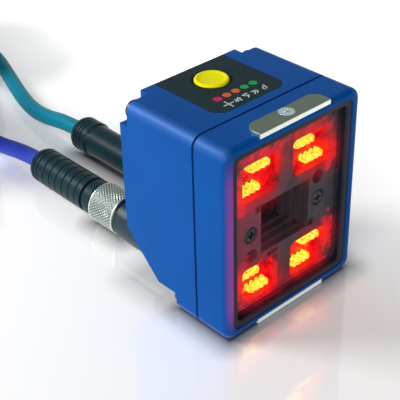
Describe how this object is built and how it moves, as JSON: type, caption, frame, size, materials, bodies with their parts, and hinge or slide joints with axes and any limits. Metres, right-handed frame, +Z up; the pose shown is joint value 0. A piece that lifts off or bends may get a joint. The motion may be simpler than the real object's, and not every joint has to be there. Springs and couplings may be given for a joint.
{
  "type": "fixed barcode reader",
  "caption": "Small boxy fixed barcode reader with a lit front window, a top panel with button and status lights, and a sloped connector block with round plugs and cables.",
  "frame": {"origin": "under the middle of the reader, halfway between its front face and the ends of its receptacle threads, on the surface that it stands on; the plugs and cords are left out of that middle", "axes": "+Z up, -Y out of the window, +Y towards the connectors, +X to the left when looking at the window"},
  "size_m": [0.0879, 0.2901, 0.0642],
  "materials": {
    "blue_coat": "satin",
    "black_rubber": "matte",
    "clear_pane": "gloss",
    "bright_steel": "satin",
    "black_steel": "satin",
    "dark_panel": "matte",
    "yellow_plastic": "satin",
    "dark_plastic": "matte",
    "red_lens": "gloss",
    "amber_lens": "gloss",
    "green_lens": "gloss",
    "white_plastic": "matte",
    "circuit_board": "satin",
    "plain_steel": "satin",
    "led_yellow": "gloss",
    "tray_red": "gloss",
    "clear_lens": "gloss",
    "yellow_brass": "satin",
    "bare_alloy": "satin",
    "dark_coat": "satin",
    "bright_nut": "gloss",
    "grip_plastic": "satin",
    "blue_cable": "satin",
    "teal_cable": "satin",
    "wire_white": "gloss",
    "clear_plastic": "gloss"
  },
  "bodies": {
    "reader": {"rear_housing": "blue_coat", "front_cover": "blue_coat", "cover_seal": "black_rubber", "window_pane": "clear_pane", "window_gasket": "black_rubber", "top_clip_plate": "bright_steel", "bottom_clip_plate": "bright_steel", "clip_screws": "bright_steel", "case_screws": "black_steel", "control_panel": "dark_panel", "button_switch": "dark_plastic", "red_light": "red_lens", "amber_lights": "amber_lens", "green_lights": "green_lens", "status_chips": "white_plastic", "control_board": "circuit_board", "control_board_screws": "plain_steel", "light_mask": "dark_plastic", "mask_screws": "plain_steel", "led_bars": "led_yellow", "reflector_trays": "tray_red", "pointer_lenses": "clear_lens", "illuminator_board": "circuit_board", "illuminator_standoffs": "yellow_brass", "optics_frame": "bare_alloy", "frame_screws": "plain_steel", "lens_barrel": "dark_plastic", "lens_glass": "clear_lens", "image_sensor": "dark_plastic", "sensor_board": "circuit_board", "front_spacers": "yellow_brass", "rear_spacers": "yellow_brass", "processor_board": "circuit_board", "processor_chip": "dark_plastic", "stack_screws": "plain_steel", "connector_block": "dark_coat", "block_gasket": "black_rubber", "block_screws": "black_steel", "power_receptacle": "dark_coat", "network_receptacle": "dark_coat", "power_contacts": "yellow_brass", "network_contacts": "yellow_brass", "power_nut": "bright_nut", "network_nut": "bright_nut", "power_plug_core": "grip_plastic", "network_plug_core": "grip_plastic", "power_grip": "grip_plastic", "network_grip": "grip_plastic", "power_cable": "blue_cable", "network_cable": "teal_cable", "power_hank": "blue_cable", "network_hank": "teal_cable", "power_tie": "grip_plastic", "network_tie": "grip_plastic", "power_wires": "wire_white", "network_boot": "teal_cable", "network_plug": "clear_plastic"},
    "button": {"push_button": "yellow_plastic"}
  },
  "joints": [
    {"name": "button_press", "type": "slide", "parent": "reader", "child": "button", "axis": [0, 0, -1], "range_m": [0, 0.0006], "stiffness_N_per_m": 800}
  ]
}
